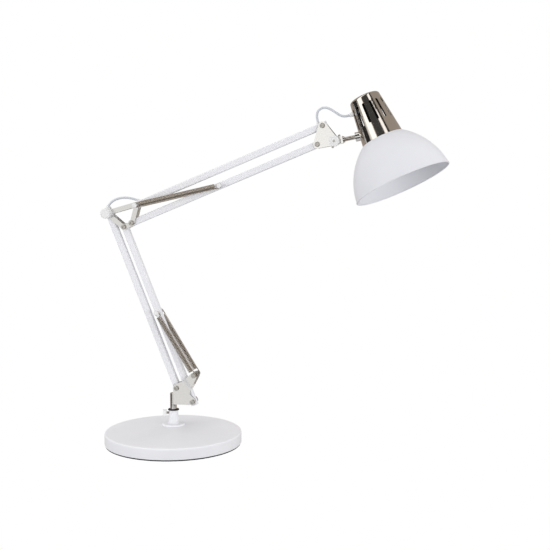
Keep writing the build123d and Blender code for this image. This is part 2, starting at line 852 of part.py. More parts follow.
# Tilt knob and bolt, wing nut on the far side
tilt_plane = Plane(origin=tilt_pivot - across * (plate_outer + plate_clearance), x_dir=(1, 0, 0),
                   z_dir=(0, -1, 0))
with BuildPart() as tilt_knob:
    add(fluted(tilt_plane, tilt_knob_radius, tilt_knob_length, bolt_radius))
finish(tilt_knob, "tilt_knob")

with BuildPart() as tilt_bolt:
    with BuildSketch(tilt_plane.offset(tilt_knob_length)):
        Circle(bolt_radius)
    extrude(amount=-(tilt_knob_length + plate_clearance + 2 * plate_outer + nut_height + bolt_end))
finish(tilt_bolt, "tilt_bolt")

with BuildPart() as wing_nut:
    with BuildSketch(Plane.XZ.offset(-plate_outer)):
        with Locations(flat(tilt_pivot)):
            Circle(nut_radius)
            SlotOverall(wing_span, wing_width, rotation=wing_turn)
            Circle(hole_radius, mode=Mode.SUBTRACT)
    extrude(amount=-nut_height)
finish(wing_nut, "wing_nut")

# Knuckle and rod
knuckle_width = tube_width
with BuildPart() as knuckle:
    with BuildSketch(Plane(origin=tilt_pivot, x_dir=rod_along, z_dir=(0, -1, 0))):
        Circle(knuckle_round)
        with Locations((knuckle_length / 2, 0)):
            Rectangle(knuckle_length, 2 * knuckle_round)
        Circle(hole_radius, mode=Mode.SUBTRACT)
    extrude(amount=knuckle_width / 2, both=True)
    with BuildSketch(Plane(origin=tilt_pivot + rod_along * knuckle_length, z_dir=rod_along)):
        Circle(rod_radius + running_clearance)
    extrude(amount=-(knuckle_length - rod_start + running_clearance), mode=Mode.SUBTRACT)
finish(knuckle, "knuckle")


def cap_radius(height):
    """Outside radius of the cap at a height along the head's axis."""
    share = (height - cap_bottom) / (cap_top - cap_bottom)
    return cap_bottom_radius + (cap_top_radius - cap_bottom_radius) * share


def rod_plane(reach):
    """Plane square to the rod at a reach from the tilt pivot."""
    return Plane(origin=tilt_pivot + rod_along * reach, x_dir=across, z_dir=rod_along)


wall_reach = rod_reach - cap_radius(0) / cos(radians(head_lean))
rod_end = wall_reach + rod_past_wall
with BuildPart() as rod:
    with BuildSketch(rod_plane(rod_start)):
        Circle(rod_radius)
    extrude(amount=rod_end - rod_start)
finish(rod, "rod")

with BuildPart() as rod_collar:
    with BuildSketch(rod_plane(knuckle_length + running_clearance)):
        Circle(collar_radius)
        Circle(rod_radius, mode=Mode.SUBTRACT)
    extrude(amount=collar_length)
finish(rod_collar, "rod_collar")

cap_outside = [(0, cap_bottom), (cap_bottom_radius, cap_bottom), (cap_top_radius, cap_top), (0, cap_top)]
with BuildPart() as rod_boss:
    with BuildSketch(rod_plane(wall_reach - boss_length)):
        Circle(boss_radius)
        Circle(rod_radius, mode=Mode.SUBTRACT)
    extrude(amount=2 * boss_length)
    with BuildSketch(head_section):
        with BuildLine():
            Polyline(cap_outside, close=True)
        make_face()
    revolve(axis=head_axis, mode=Mode.SUBTRACT)
finish(rod_boss, "rod_boss")

round_start = cap_top - cap_sheet - cap_edge_round
inner_bottom = cap_bottom_radius - cap_sheet
inner_top = cap_radius(round_start) - cap_sheet
cap_inside = [(0, cap_bottom), (inner_bottom, cap_bottom), (inner_top, round_start), (0, round_start)]
with BuildPart() as rod_nut:
    with BuildSketch(rod_plane(wall_reach - boss_length)):
        RegularPolygon(rod_nut_radius, 6)
        Circle(rod_radius, mode=Mode.SUBTRACT)
    extrude(amount=boss_length + rod_nut_past_wall)
    with BuildSketch(head_section):
        with BuildLine():
            Polyline(cap_inside, close=True)
        make_face()
    revolve(axis=head_axis, mode=Mode.INTERSECT)
finish(rod_nut, "rod_nut")

# Slotted cap
with BuildPart() as cap:
    with BuildSketch(head_section):
        with BuildLine():
            Polyline(cap_outside, close=True)
        make_face()
    revolve(axis=head_axis)
    fillet(cap.faces().sort_by(head_axis)[-1].edges(), cap_edge_round)
    with BuildSketch(head_section):
        with BuildLine():
            Polyline(
                (0, cap_bottom),
                (inner_bottom, cap_bottom),
                (inner_top, round_start),
                (inner_top - cap_edge_round, cap_top - cap_sheet),
                (0, cap_top - cap_sheet),
                close=True,
            )
        make_face()
    revolve(axis=head_axis, mode=Mode.SUBTRACT)
    for index in range(slot_count):
        turn = radians(grommet_angle + (index + 0.5) * 360 / slot_count)
        out = rod_side * cos(turn) + head_level.y_dir * sin(turn)
        with BuildSketch(Plane(origin=head_origin, x_dir=head_up, z_dir=out)):
            with Locations(((slot_bottom + slot_top) / 2, 0)):
                SlotOverall(slot_top - slot_bottom, slot_width)
        extrude(amount=cap_bottom_radius + cap_sheet, mode=Mode.SUBTRACT)
    with BuildSketch(rod_plane(wall_reach - boss_length)):
        Circle(rod_radius + running_clearance)
    extrude(amount=2 * boss_length, mode=Mode.SUBTRACT)
    grommet_turn = radians(grommet_angle)
    grommet_out = rod_side * cos(grommet_turn) + head_level.y_dir * sin(grommet_turn)
    grommet_plane = Plane(origin=head_origin + head_up * grommet_height, x_dir=head_up, z_dir=grommet_out)
    with BuildSketch(grommet_plane):
        Circle(bush_radius + running_clearance)
    extrude(amount=cap_bottom_radius + cap_sheet, mode=Mode.SUBTRACT)
finish(cap, "cap")

grommet_seat = cap_radius(grommet_height)
with BuildPart() as cap_grommet:
    with BuildSketch(grommet_plane.offset(grommet_seat - grommet_tail)):
        Circle(bush_radius)
    extrude(amount=grommet_tail + grommet_lift)
    with BuildSketch(grommet_plane.offset(grommet_seat + grommet_lift)):
        Circle(grommet_radius)
    extrude(amount=grommet_length, taper=grommet_taper)
    with BuildSketch(grommet_plane.offset(grommet_seat - grommet_tail)):
        Circle(cable_radius + running_clearance)
    extrude(amount=grommet_tail + grommet_lift + grommet_length, mode=Mode.SUBTRACT)
finish(cap_grommet, "cap_grommet")

# Dome shade with a rolled rim and a flat top under the cap
neck_top = cap_bottom + neck_height
neck_radius = cap_radius(neck_top) - cap_sheet - sheet_gap
with BuildPart() as shade:
    with BuildSketch(head_section):
        with BuildLine():
            top_in = (holder_radius + running_clearance, neck_top - shade_sheet)
            Polyline(
                top_in,
                (holder_radius + running_clearance, neck_top),
                (neck_radius, neck_top),
                (neck_radius, cap_bottom),
                (cap_bottom_radius + shade_shoulder, cap_bottom),
            )
            ThreePointArc(
                (cap_bottom_radius + shade_shoulder, cap_bottom),
                (shade_mid_radius, shade_mid),
                (shade_radius, shade_rim),
            )
            Line((shade_radius, shade_rim), (shade_radius - shade_sheet, shade_rim))
            ThreePointArc(
                (shade_radius - shade_sheet, shade_rim),
                (shade_mid_radius - 0.8 * shade_sheet, shade_mid - 0.6 * shade_sheet),
                (neck_radius - shade_sheet, cap_bottom - 1.1 * shade_sheet),
            )
            Polyline(
                (neck_radius - shade_sheet, cap_bottom - 1.1 * shade_sheet),
                (neck_radius - shade_sheet, neck_top - shade_sheet),
                top_in,
            )
        make_face()
        with Locations((shade_radius - shade_sheet / 2, shade_rim + rim_bead / 2)):
            Circle(rim_bead)
    revolve(axis=head_axis)
finish(shade, "shade")

# Lampholder with its ring, screw shell and contact
with BuildPart() as lampholder:
    with BuildSketch(head_section):
        with BuildLine():
            Polyline(
                (0, holder_top),
                (holder_neck_radius - holder_chamfer, holder_top),
                (holder_neck_radius, holder_top - holder_chamfer),
                (holder_neck_radius, holder_shoulder),
                (holder_radius, holder_shoulder),
                (holder_radius, neck_top + holder_flange_height),
                (holder_flange, neck_top + holder_flange_height),
                (holder_flange, neck_top),
                (holder_radius, neck_top),
                (holder_radius, holder_mouth),
                (holder_bore, holder_mouth),
                (holder_bore, holder_mouth + holder_depth),
                (0, holder_mouth + holder_depth),
                close=True,
            )
        make_face()
    revolve(axis=head_axis)
finish(lampholder, "lampholder")

with BuildPart() as lampholder_ring:
    with BuildSketch(head_section):
        with Locations(((holder_radius + running_clearance + ring_radius) / 2,
                        neck_top - shade_sheet - ring_height / 2)):
            Rectangle(ring_radius - holder_radius - running_clearance, ring_height)
    revolve(axis=head_axis)
finish(lampholder_ring, "lampholder_ring")

shell_top = holder_mouth + holder_depth
with BuildPart() as screw_shell:
    with BuildSketch(head_section):
        with Locations((holder_bore - shell_wall / 2, shell_top - (holder_depth - shell_short) / 2)):
            Rectangle(shell_wall, holder_depth - shell_short)
    revolve(axis=head_axis)
finish(screw_shell, "screw_shell")

with BuildPart() as centre_contact:
    with BuildSketch(head_level.offset(shell_top)):
        Circle(contact_radius)
    extrude(amount=-contact_height)
    fillet(centre_contact.faces().sort_by(head_axis)[0].edges(), contact_round)
finish(centre_contact, "centre_contact")

# Cable over the elbow, from the rear tube's plug to the top tube's bush
elbow_cable_end = elbow_bush_centre + elbow_bush_way
elbow_route = [
    spout_start,
    spout_start + spout_way * 7.0,
    elbow_rear + Vector(5.4, 0, 17.9),
    elbow_rear + Vector(12.6, 0, 21.4),
    elbow_rear + Vector(21.4, 0, 23.2),
    elbow_rear + Vector(30.4, 0, 23.0),
    elbow_cable_end - elbow_bush_way * 8.0,
    elbow_cable_end,
]
with BuildPart() as elbow_cable:
    add(cord(elbow_route, "elbow_cable"))
finish(elbow_cable, "elbow_cable")

# Cable at the head, from the top tube's bush to the cap's grommet
head_cable_end = grommet_plane.origin + grommet_out * (grommet_seat + running_clearance)
head_route = [
    head_bush_centre,
    head_bush_centre + head_bush_way * 6.2,
    head_top + Vector(-9.1, 0, 14.6),
    head_top + Vector(-7.5, 0, 20.5),
    head_top + Vector(-2.9, -0.2, 24.5),
    head_top + Vector(3.4, -0.7, 25.7),
    head_top + Vector(10.1, -1.8, 23.6),
    head_top + Vector(17.6, -3.4, 18.9),
    head_top + Vector(26.6, -5.0, 12.9),
    head_cable_end + grommet_out * 8.6,
    head_cable_end,
]
with BuildPart() as head_cable:
    add(cord(head_route, "head_cable"))
finish(head_cable, "head_cable")

# Lead inside the cap, from the grommet to the lampholder
with BuildPart() as holder_lead:
    with BuildSketch(grommet_plane.offset(holder_neck_radius + running_clearance)):
        Circle(cable_radius)
    extrude(amount=grommet_seat - holder_neck_radius - running_clearance)
finish(holder_lead, "holder_lead")
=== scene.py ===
"""Looks of the balanced-arm desk lamp: finishes, wound springs, cables, camera and studio light."""

import json
from math import cos, pi, radians, sin

import bpy
import numpy as np
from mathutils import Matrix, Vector


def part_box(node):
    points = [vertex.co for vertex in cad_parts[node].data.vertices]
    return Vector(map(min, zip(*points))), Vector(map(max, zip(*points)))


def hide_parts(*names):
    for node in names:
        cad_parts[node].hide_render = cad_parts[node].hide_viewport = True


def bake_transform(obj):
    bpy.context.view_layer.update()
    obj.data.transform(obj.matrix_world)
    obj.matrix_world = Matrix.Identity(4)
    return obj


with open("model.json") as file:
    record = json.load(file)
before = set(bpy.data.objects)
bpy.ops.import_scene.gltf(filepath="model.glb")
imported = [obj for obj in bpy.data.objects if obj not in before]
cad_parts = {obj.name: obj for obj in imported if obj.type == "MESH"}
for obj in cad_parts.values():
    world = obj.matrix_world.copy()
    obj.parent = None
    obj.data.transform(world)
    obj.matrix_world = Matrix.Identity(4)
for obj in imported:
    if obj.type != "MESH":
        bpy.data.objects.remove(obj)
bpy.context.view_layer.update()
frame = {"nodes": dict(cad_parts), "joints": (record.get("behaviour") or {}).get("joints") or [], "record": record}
MM = 0.001

# Sizes that the part's source sets
LOWER_LEAN = radians(21.6)
UPPER_RISE = radians(22.4)
TUBE_HALF = 4.75 * MM
WIRE_RADIUS = 0.7 * MM
SPRING_RADIUS = 3.3 * MM
SPRING_SIDE = 12.0 * MM
PIN_RADIUS = 1.9 * MM
EYE_SLACK = 0.3 * MM
EYE_LEAD = 7.0 * MM
CABLE_RADIUS = 1.7 * MM
CAP_FOOT = -11.0 * MM
CAP_TOP = 54.6 * MM
CAP_ROUND = 3.5 * MM
CAP_FOOT_RADIUS = 30.0 * MM
CAP_TAPER = 8.2 / 65.6
GROMMET_HEIGHT = 38.5 * MM
GROMMET_TURN = radians(15)
GROMMET_GAP = 0.05 * MM
ROD_REACH = 64.0 * MM
PLATE_HALF = 0.8 * MM
PLATE_CLEARANCE = 0.3 * MM
PLATE_MIDDLE = TUBE_HALF + PLATE_CLEARANCE + PLATE_HALF
JOGGLE = 2.55 * MM
JOGGLE_RUN = 6.0 * MM
FOLD_START = Vector((10.7, 0, 11.7)) * MM
FOLD_END = Vector((21.4, 0, -2.3)) * MM

# Winding pitch of the springs, more open on the stretched lower pair, and the points along their wire
LOWER_PITCH = 2.1 * MM
UPPER_PITCH = 1.45 * MM
EYE_STEPS = 40
TURN_STEPS = 26

# Sides of the round tubes
WIRE_SIDES = 10
CABLE_SIDES = 20

# Depth into the cap's wall, past its slot edges, where the painted shade on its inside begins, and the fade of the
# painted shade on the plates' edge faces
CAP_SHADE_START = 1.1 * MM
EDGE_FROM, EDGE_TO = PLATE_HALF - 0.2 * MM, PLATE_HALF - 0.05 * MM

# Places read from the frame
PIVOT = {joint["name"]: Vector(joint["pos_m"]) for joint in frame["joints"] if "pos_m" in joint}
LOWER_ALONG = Vector((-sin(LOWER_LEAN), 0, cos(LOWER_LEAN)))
UPPER_ALONG = Vector((cos(UPPER_RISE), 0, sin(UPPER_RISE)))
UPPER_NORMAL = Vector((-sin(UPPER_RISE), 0, cos(UPPER_RISE)))
ACROSS = Vector((0, 1, 0))

# Fold of the bracket plates, where their spring arms step outwards
FOLD_ALONG = (FOLD_END - FOLD_START).normalized()
FOLD_OUT = Vector((-FOLD_ALONG.z, 0, FOLD_ALONG.x))
FOLD_MIDDLE = PIVOT["lower_arm_tilt"] + (FOLD_START + FOLD_END) / 2

# Head axis, leaning and rolled on the rod
ROD_RISE, HEAD_ROLL, HEAD_LEAN = radians(11), radians(8), radians(14.25)
ROD_ALONG = Vector((cos(ROD_RISE), 0, sin(ROD_RISE)))
ROD_DOWN = Vector((sin(ROD_RISE), 0, -cos(ROD_RISE)))
ROLLED_DOWN = ROD_DOWN * cos(HEAD_ROLL) - ACROSS * sin(HEAD_ROLL)
HEAD_UP = -(ROLLED_DOWN * cos(HEAD_LEAN) + ROD_ALONG * sin(HEAD_LEAN))
HEAD_ORIGIN = PIVOT["head_tilt"] + ROD_ALONG * ROD_REACH


def centre(node):
    """Middle of a CAD node's box."""
    low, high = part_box(node)
    return (low + high) / 2


# Colours and shader nodes


def linear(code):
    """Linear colour of an sRGB hex code."""
    values = [int(code[i:i + 2], 16) / 255 for i in (1, 3, 5)]
    return [v / 12.92 if v <= 0.04045 else ((v + 0.055) / 1.055) ** 2.4 for v in values] + [1.0]


def put(tree, kind, **values):
    """Add a shader node; a value sets a property or an input, or links an output to an input.

    An input goes by its name, with _ for a space, or by its number, as in in0.
    """
    node = tree.nodes.new(kind)
    for name, value in values.items():
        if hasattr(node, name):
            setattr(node, name, value)
            continue
        socket = node.inputs[int(name[2:]) if name.startswith("in") else name.replace("_", " ")]
        if isinstance(value, bpy.types.NodeSocket):
            tree.links.new(value, socket)
        else:
            socket.default_value = value
    return node


def new_material(name):
    """Empty node material and its Object coordinates."""
    material = bpy.data.materials.new(name)
    material.use_nodes = True
    tree = material.node_tree
    tree.nodes.clear()
    return material, tree, put(tree, "ShaderNodeTexCoord").outputs["Object"]


def number(tree, operation, *values):
    """Result of a Math node."""
    inputs = {f"in{index}": value for index, value in enumerate(values)}
    return put(tree, "ShaderNodeMath", operation=operation, **inputs).outputs["Value"]


def ramp(tree, factor, low, high):
    """Colour between two hex colours."""
    node = put(tree, "ShaderNodeValToRGB", Fac=factor)
    node.color_ramp.elements[0].color = linear(low)
    node.color_ramp.elements[1].color = linear(high)
    return node.outputs["Color"]


def spread(tree, factor, low, high):
    """Value between two limits."""
    return put(tree, "ShaderNodeMapRange", Value=factor, To_Min=low, To_Max=high).outputs["Result"]


def surface(tree, **inputs):
    """Principled surface joined to the output."""
    shader = put(tree, "ShaderNodeBsdfPrincipled", **inputs)
    put(tree, "ShaderNodeOutputMaterial", Surface=shader.outputs["BSDF"])


def enamel(name, dark, light, roughness, peel_size, peel_depth):
    """Powder coat: orange peel and a faint colour drift."""
    material, tree, coords = new_material(name)
    peel = put(tree, "ShaderNodeTexNoise", Vector=coords, Scale=1 / peel_size, Detail=3.0)
    drift = put(tree, "ShaderNodeTexNoise", Vector=coords, Scale=1 / (40 * MM), Detail=2.0)
    bump = put(tree, "ShaderNodeBump", Height=peel.outputs["Fac"], Strength=0.02, Distance=peel_depth)
    surface(
        tree,
        Base_Color=ramp(tree, drift.outputs["Fac"], dark, light),
        Roughness=spread(tree, peel.outputs["Fac"], roughness - 0.02, roughness + 0.03),
        Normal=bump.outputs["Normal"],
        Specular_IOR_Level=0.45,
    )
    return material


def plated(name, dark, light, roughness, grain_size, grain_depth):
    """Plated or bare metal: fine grain and a cloudy polish."""
    material, tree, coords = new_material(name)
    grain = put(tree, "ShaderNodeTexNoise", Vector=coords, Scale=1 / grain_size, Detail=4.0)
    cloud = put(tree, "ShaderNodeTexNoise", Vector=coords, Scale=1 / (12 * MM), Detail=3.0)
    bump = put(tree, "ShaderNodeBump", Height=grain.outputs["Fac"], Strength=0.06, Distance=grain_depth)
    surface(
        tree,
        Base_Color=ramp(tree, grain.outputs["Fac"], dark, light),
        Metallic=1.0,
        Roughness=spread(tree, cloud.outputs["Fac"], roughness - 0.02, roughness + 0.03),
        Normal=bump.outputs["Normal"],
    )
    return material


def moulded(name, dark, light, roughness, texture_size):
    """Moulded plastic or rubber with a fine texture."""
    material, tree, coords = new_material(name)
    texture = put(tree, "ShaderNodeTexNoise", Vector=coords, Scale=1 / texture_size, Detail=4.0)
    patch = put(tree, "ShaderNodeTexNoise", Vector=coords, Scale=1 / (9 * MM), Detail=2.0)
    bump = put(tree, "ShaderNodeBump", Height=texture.outputs["Fac"], Strength=0.1, Distance=0.03 * MM)
    surface(
        tree,
        Base_Color=ramp(tree, patch.outputs["Fac"], dark, light),
        Roughness=spread(tree, texture.outputs["Fac"], roughness - 0.05, roughness + 0.08),
        Normal=bump.outputs["Normal"],
    )
    return material


def blended_input(tree, name, mask, other):
    """Change one input of a tree's surface to another colour or number where a mask is 1."""
    shader = next(node for node in tree.nodes if node.type == "BSDF_PRINCIPLED")
    socket = shader.inputs[name]
    first = socket.links[0].from_socket if socket.links else socket.default_value
    if socket.type == "RGBA":
        mixed = put(tree, "ShaderNodeMix", data_type="RGBA", in0=mask, in6=first, in7=other).outputs[2]
    else:
        mixed = put(tree, "ShaderNodeMix", data_type="FLOAT", in0=mask, in2=first, in3=other).outputs[0]
    tree.links.new(mixed, socket)


def paint_cap_inside_shade(material):
    """Painted shade on the inside of the cap: near-black and matt, split from the polish by distance from the head
    axis.
    """
    tree = material.node_tree
    coords = put(tree, "ShaderNodeTexCoord").outputs["Object"]
    offset = put(tree, "ShaderNodeVectorMath", operation="SUBTRACT", in0=coords, in1=HEAD_ORIGIN).outputs["Vector"]
    height = put(tree, "ShaderNodeVectorMath", operation="DOT_PRODUCT", in0=offset, in1=HEAD_UP).outputs["Value"]
    axial = put(tree, "ShaderNodeVectorMath", operation="SCALE", in0=HEAD_UP, Scale=height).outputs["Vector"]
    radial = put(tree, "ShaderNodeVectorMath", operation="SUBTRACT", in0=offset, in1=axial).outputs["Vector"]
    reach = put(tree, "ShaderNodeVectorMath", operation="LENGTH", in0=radial).outputs["Value"]
    wall_at_origin = CAP_FOOT_RADIUS + CAP_TAPER * CAP_FOOT - CAP_SHADE_START
    wall = number(tree, "MULTIPLY_ADD", height, -CAP_TAPER, wall_at_origin)
    within = number(tree, "LESS_THAN", reach, wall)
    below = number(tree, "LESS_THAN", height, CAP_TOP - CAP_ROUND)
    mask = number(tree, "MULTIPLY", within, below)
    # Painted shade: near-black colour with a faint mottle
    shade_mottle = put(tree, "ShaderNodeTexNoise", Vector=coords, Scale=1 / (6 * MM), Detail=3.0)
    blended_input(tree, "Base Color", mask, ramp(tree, shade_mottle.outputs["Fac"], "#141211", "#211E1C"))
    blended_input(tree, "Metallic", mask, 0.0)
    blended_input(tree, "Roughness", mask, 0.7)


def paint_plate_edge_shade(material, dark, light, joggle=0.0):
    """Painted shade on the edge faces of a pair of plates, between the faces of their sheet; a joggle steps it out at
    the fold.
    """
    tree = material.node_tree
    coords = put(tree, "ShaderNodeTexCoord").outputs["Object"]
    parts = put(tree, "ShaderNodeSeparateXYZ", Vector=coords)
    side = number(tree, "ABSOLUTE", parts.outputs["Y"])
    offset = put(tree, "ShaderNodeVectorMath", operation="SUBTRACT", in0=coords, in1=FOLD_MIDDLE).outputs["Vector"]
    past = put(tree, "ShaderNodeVectorMath", operation="DOT_PRODUCT", in0=offset, in1=FOLD_OUT).outputs["Value"]
    sheet = put(tree, "ShaderNodeMapRange", Value=past, From_Max=JOGGLE_RUN, To_Min=PLATE_MIDDLE,
                To_Max=PLATE_MIDDLE + joggle).outputs["Result"]
    depth = number(tree, "ABSOLUTE", number(tree, "SUBTRACT", side, sheet))
    mask = put(tree, "ShaderNodeMapRange", Value=depth, From_Min=EDGE_FROM, From_Max=EDGE_TO, To_Min=1.0,
               To_Max=0.0).outputs["Result"]
    # Painted shade: dark colour with a faint mottle on the plates' edge faces
    shade_mottle = put(tree, "ShaderNodeTexNoise", Vector=coords, Scale=1 / (3 * MM), Detail=2.0)
    blended_input(tree, "Base Color", mask, ramp(tree, shade_mottle.outputs["Fac"], dark, light))


# Tones, roughness, grain size and grain depth of the nickel, and the tones of the painted shade on the plates' edge
# faces
BRIGHT_NICKEL = ("#E4E3E0", "#ECEBE9", 0.16, 0.25 * MM, 0.004 * MM)
POLISHED_NICKEL = ("#D0CAC2", "#DAD5CE", 0.1, 0.12 * MM, 0.002 * MM)
PLATE_EDGE_SHADE = ("#5C554E", "#756D65")

MATERIALS = {
    "white_enamel": enamel("white_powder_coat", "#EDEEF2", "#F4F4F7", 0.42, 2.2 * MM, 0.02 * MM),
    "white_plastic": moulded("white_moulded_plastic", "#E9E9EA", "#F3F3F3", 0.40, 0.4 * MM),
    "satin_nickel": plated("bright_nickel_plate", *BRIGHT_NICKEL),
    "zinc_steel": plated("zinc_plated_steel", "#B9B7B2", "#D2D0CB", 0.28, 0.2 * MM, 0.005 * MM),
    "spring_steel": plated("nickel_spring_wire", "#C6BEB4", "#D8D2C9", 0.2, 0.3 * MM, 0.004 * MM),
    "iron": plated("raw_cast_iron", "#2E2E30", "#4A494A", 0.6, 1.5 * MM, 0.1 * MM),
    "black_pad": moulded("black_foam_rubber", "#0B0B0B", "#161616", 0.8, 0.6 * MM),
    "black_plastic": moulded("black_moulded_plastic", "#0D0D0E", "#19191A", 0.45, 0.4 * MM),
    "grey_cable": moulded("pale_grey_cable_sheath", "#C9CED6", "#D9DDE3", 0.42, 0.5 * MM),
    "brass": plated("stamped_brass", "#B58C3C", "#CBA254", 0.3, 0.3 * MM, 0.006 * MM),
}
ROD_NICKEL = plated("polished_nickel_rod", *POLISHED_NICKEL)
CAP_NICKEL = plated("polished_nickel_cap", *POLISHED_NICKEL)
# The cap's polish, with painted shade on its inside
paint_cap_inside_shade(CAP_NICKEL)
# Plate sheets with painted shade on their edge faces
FLAT_SHEET = plated("bright_nickel_sheet", *BRIGHT_NICKEL)
paint_plate_edge_shade(FLAT_SHEET, *PLATE_EDGE_SHADE)
FOLDED_SHEET = plated("bright_nickel_folded_sheet", *BRIGHT_NICKEL)
paint_plate_edge_shade(FOLDED_SHEET, *PLATE_EDGE_SHADE, JOGGLE)
# The lampshade's coat: a darker copy of the white powder coat, painted shade that tones down the light the lampshade
# gets
LAMPSHADE_COAT_DARKENED = enamel("white_shade_coat", "#E4E5EA", "#EBECF0", 0.42, 2.2 * MM, 0.02 * MM)

# Nodes whose finish differs from that of their slot
OWN_FINISH = {"cap": CAP_NICKEL, "rod": ROD_NICKEL, "rod_collar": ROD_NICKEL, "shade": LAMPSHADE_COAT_DARKENED}
for plate_side in ("near", "far"):
    OWN_FINISH[f"bracket_{plate_side}_plate"] = FOLDED_SHEET
    OWN_FINISH[f"elbow_{plate_side}_plate"] = FLAT_SHEET
    OWN_FINISH[f"head_{plate_side}_plate"] = FLAT_SHEET

for entry in frame["record"]["subparts"]:
    node_materials = frame["nodes"][entry["node"]].data.materials
    node_materials.clear()
    node_materials.append(OWN_FINISH.get(entry["node"], MATERIALS[entry["material_slot"]]))


# Mesh pieces

# A direction that no wire or cable starts along
ASKEW = (0.3, 0.9, 0.2)


def mesh_piece(name, points, faces, slot_name):
    """Smooth mesh object with a slot's finish, placed by its points."""
    mesh = bpy.data.meshes.new(name)
    mesh.from_pydata(points.tolist(), [], faces)
    mesh.polygons.foreach_set("use_smooth", np.ones(len(faces), dtype=bool))
    mesh.materials.append(MATERIALS[slot_name])
    piece = bpy.data.objects.new(name, mesh)
    bpy.context.scene.collection.objects.link(piece)
    return piece


def tube(name, line, radius, sides, slot_name):
    """Round tube along a line: point = line + radius (cos b * first normal + sin b * second normal).

    The normals are carried along the line without twist, and a fan closes each end.
    """
    way = np.gradient(line, axis=0)
    way /= np.linalg.norm(way, axis=1)[:, None]
    first = np.zeros_like(way)
    start = np.cross(way[0], ASKEW)
    first[0] = start / np.linalg.norm(start)
    for i in range(1, len(line)):
        carried = first[i - 1] - way[i] * np.dot(first[i - 1], way[i])
        first[i] = carried / np.linalg.norm(carried)
    second = np.cross(way, first)
    turn = np.linspace(0, 2 * pi, sides, endpoint=False)
    ring = np.cos(turn)[None, :, None] * first[:, None, :] + np.sin(turn)[None, :, None] * second[:, None, :]
    points = (line[:, None, :] + radius * ring).reshape(-1, 3)
    row = np.arange(len(line) - 1)[:, None] * sides
    here = np.arange(sides)[None, :]
    after = (here + 1) % sides
    quads = np.stack([row + here, row + after, row + sides + after, row + sides + here], axis=-1).reshape(-1, 4)
    last = (len(line) - 1) * sides
    points = np.vstack([points, line[0], line[-1]])
    count = len(points)
    near = np.stack([np.full(sides, count - 2), after[0], here[0]], axis=-1)
    far = np.stack([np.full(sides, count - 1), last + here[0], last + after[0]], axis=-1)
    return mesh_piece(name, points, quads.tolist() + near.tolist() + far.tolist(), slot_name)


def spring_line(hook, pin, side, pitch):
    """Centre line of a spring's wire from a hook to a pin: eye, lead, close turns, lead, eye."""
    along = (pin - hook).normalized()
    up = along.cross(ACROSS)
    length = (pin - hook).length
    shift = SPRING_RADIUS - WIRE_RADIUS - PIN_RADIUS - EYE_SLACK
    coil_length = length - 2 * EYE_LEAD
    turns = round(coil_length / pitch)

    first = np.radians(np.linspace(20, 270, EYE_STEPS))
    eye = np.stack([shift + SPRING_RADIUS * np.cos(first), SPRING_RADIUS * np.sin(first), 0 * first], axis=1)
    angle = np.linspace(0, 2 * pi * turns, TURN_STEPS * turns)
    coil = np.stack(
        [EYE_LEAD + coil_length * angle / angle[-1], -SPRING_RADIUS * np.cos(angle), SPRING_RADIUS * np.sin(angle)],
        axis=1,
    )
    last = np.radians(np.linspace(270, 520, EYE_STEPS))
    far_eye = np.stack(
        [length - shift + SPRING_RADIUS * np.cos(last), SPRING_RADIUS * np.sin(last), 0 * last], axis=1
    )
    path = np.vstack([eye, coil, far_eye])
    frame_axes = np.array([along, up, ACROSS])
    return np.array(hook + ACROSS * side) + path @ frame_axes


def springs(name, hook, pin, pitch):
    """Pair of springs, one each side of the arm, that stretch between two bodies."""
    for label, side in (("near", -SPRING_SIDE), ("far", SPRING_SIDE)):
        line = spring_line(hook, pin, side, pitch)
        piece = tube(f"{name}_{label}_wire", line, WIRE_RADIUS, WIRE_SIDES, "spring_steel")
        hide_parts(f"{name}_{label}", f"{name}_loops")
        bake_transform(piece)


springs("lower_spring", PIVOT["lower_spring_swing"], centre("lower_spring_pin"), LOWER_PITCH)
springs("upper_spring", PIVOT["upper_spring_swing"], centre("upper_spring_pin"), UPPER_PITCH)


# Cables


def route_line(name, route):
    """Points along the smooth curve that a cable's route controls."""
    curve = bpy.data.curves.new(name, "CURVE")
    curve.dimensions = "3D"
    curve.resolution_u = 24
    spline = curve.splines.new("NURBS")
    spline.points.add(len(route) - 1)
    for control, place in zip(spline.points, route):
        control.co = (*place, 1)
    spline.order_u = 3
    spline.use_endpoint_u = True
    holder = bpy.data.objects.new(name, curve)
    bpy.context.scene.collection.objects.link(holder)
    line = bpy.data.meshes.new_from_object(holder)
    points = np.array([vertex.co for vertex in line.vertices], float)
    bpy.data.objects.remove(holder)
    return points


def lengths(line):
    """Distance along a line at each of its points."""
    return np.concatenate([[0], np.cumsum(np.linalg.norm(np.diff(line, axis=0), axis=1))])


def cable(name, node, route, spans):
    """Cable in stretches, a tube for each; a span gives its end as a share of the length."""
    line = route_line(name, route)
    reach = lengths(line)
    begin = 0
    for index, (share, body, next_body) in enumerate(spans):
        end = int(np.searchsorted(reach, share * reach[-1] - 1e-9))
        stretch = line[begin:end + 1]
        piece = tube(f"{name}_{index}", stretch, CABLE_RADIUS, CABLE_SIDES, "grey_cable")
        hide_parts(node)
        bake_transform(piece)
        begin = end


def in_side_view(angle):
    """Direction in the XZ plane at an angle from X."""
    return Vector((cos(radians(angle)), 0, sin(radians(angle))))


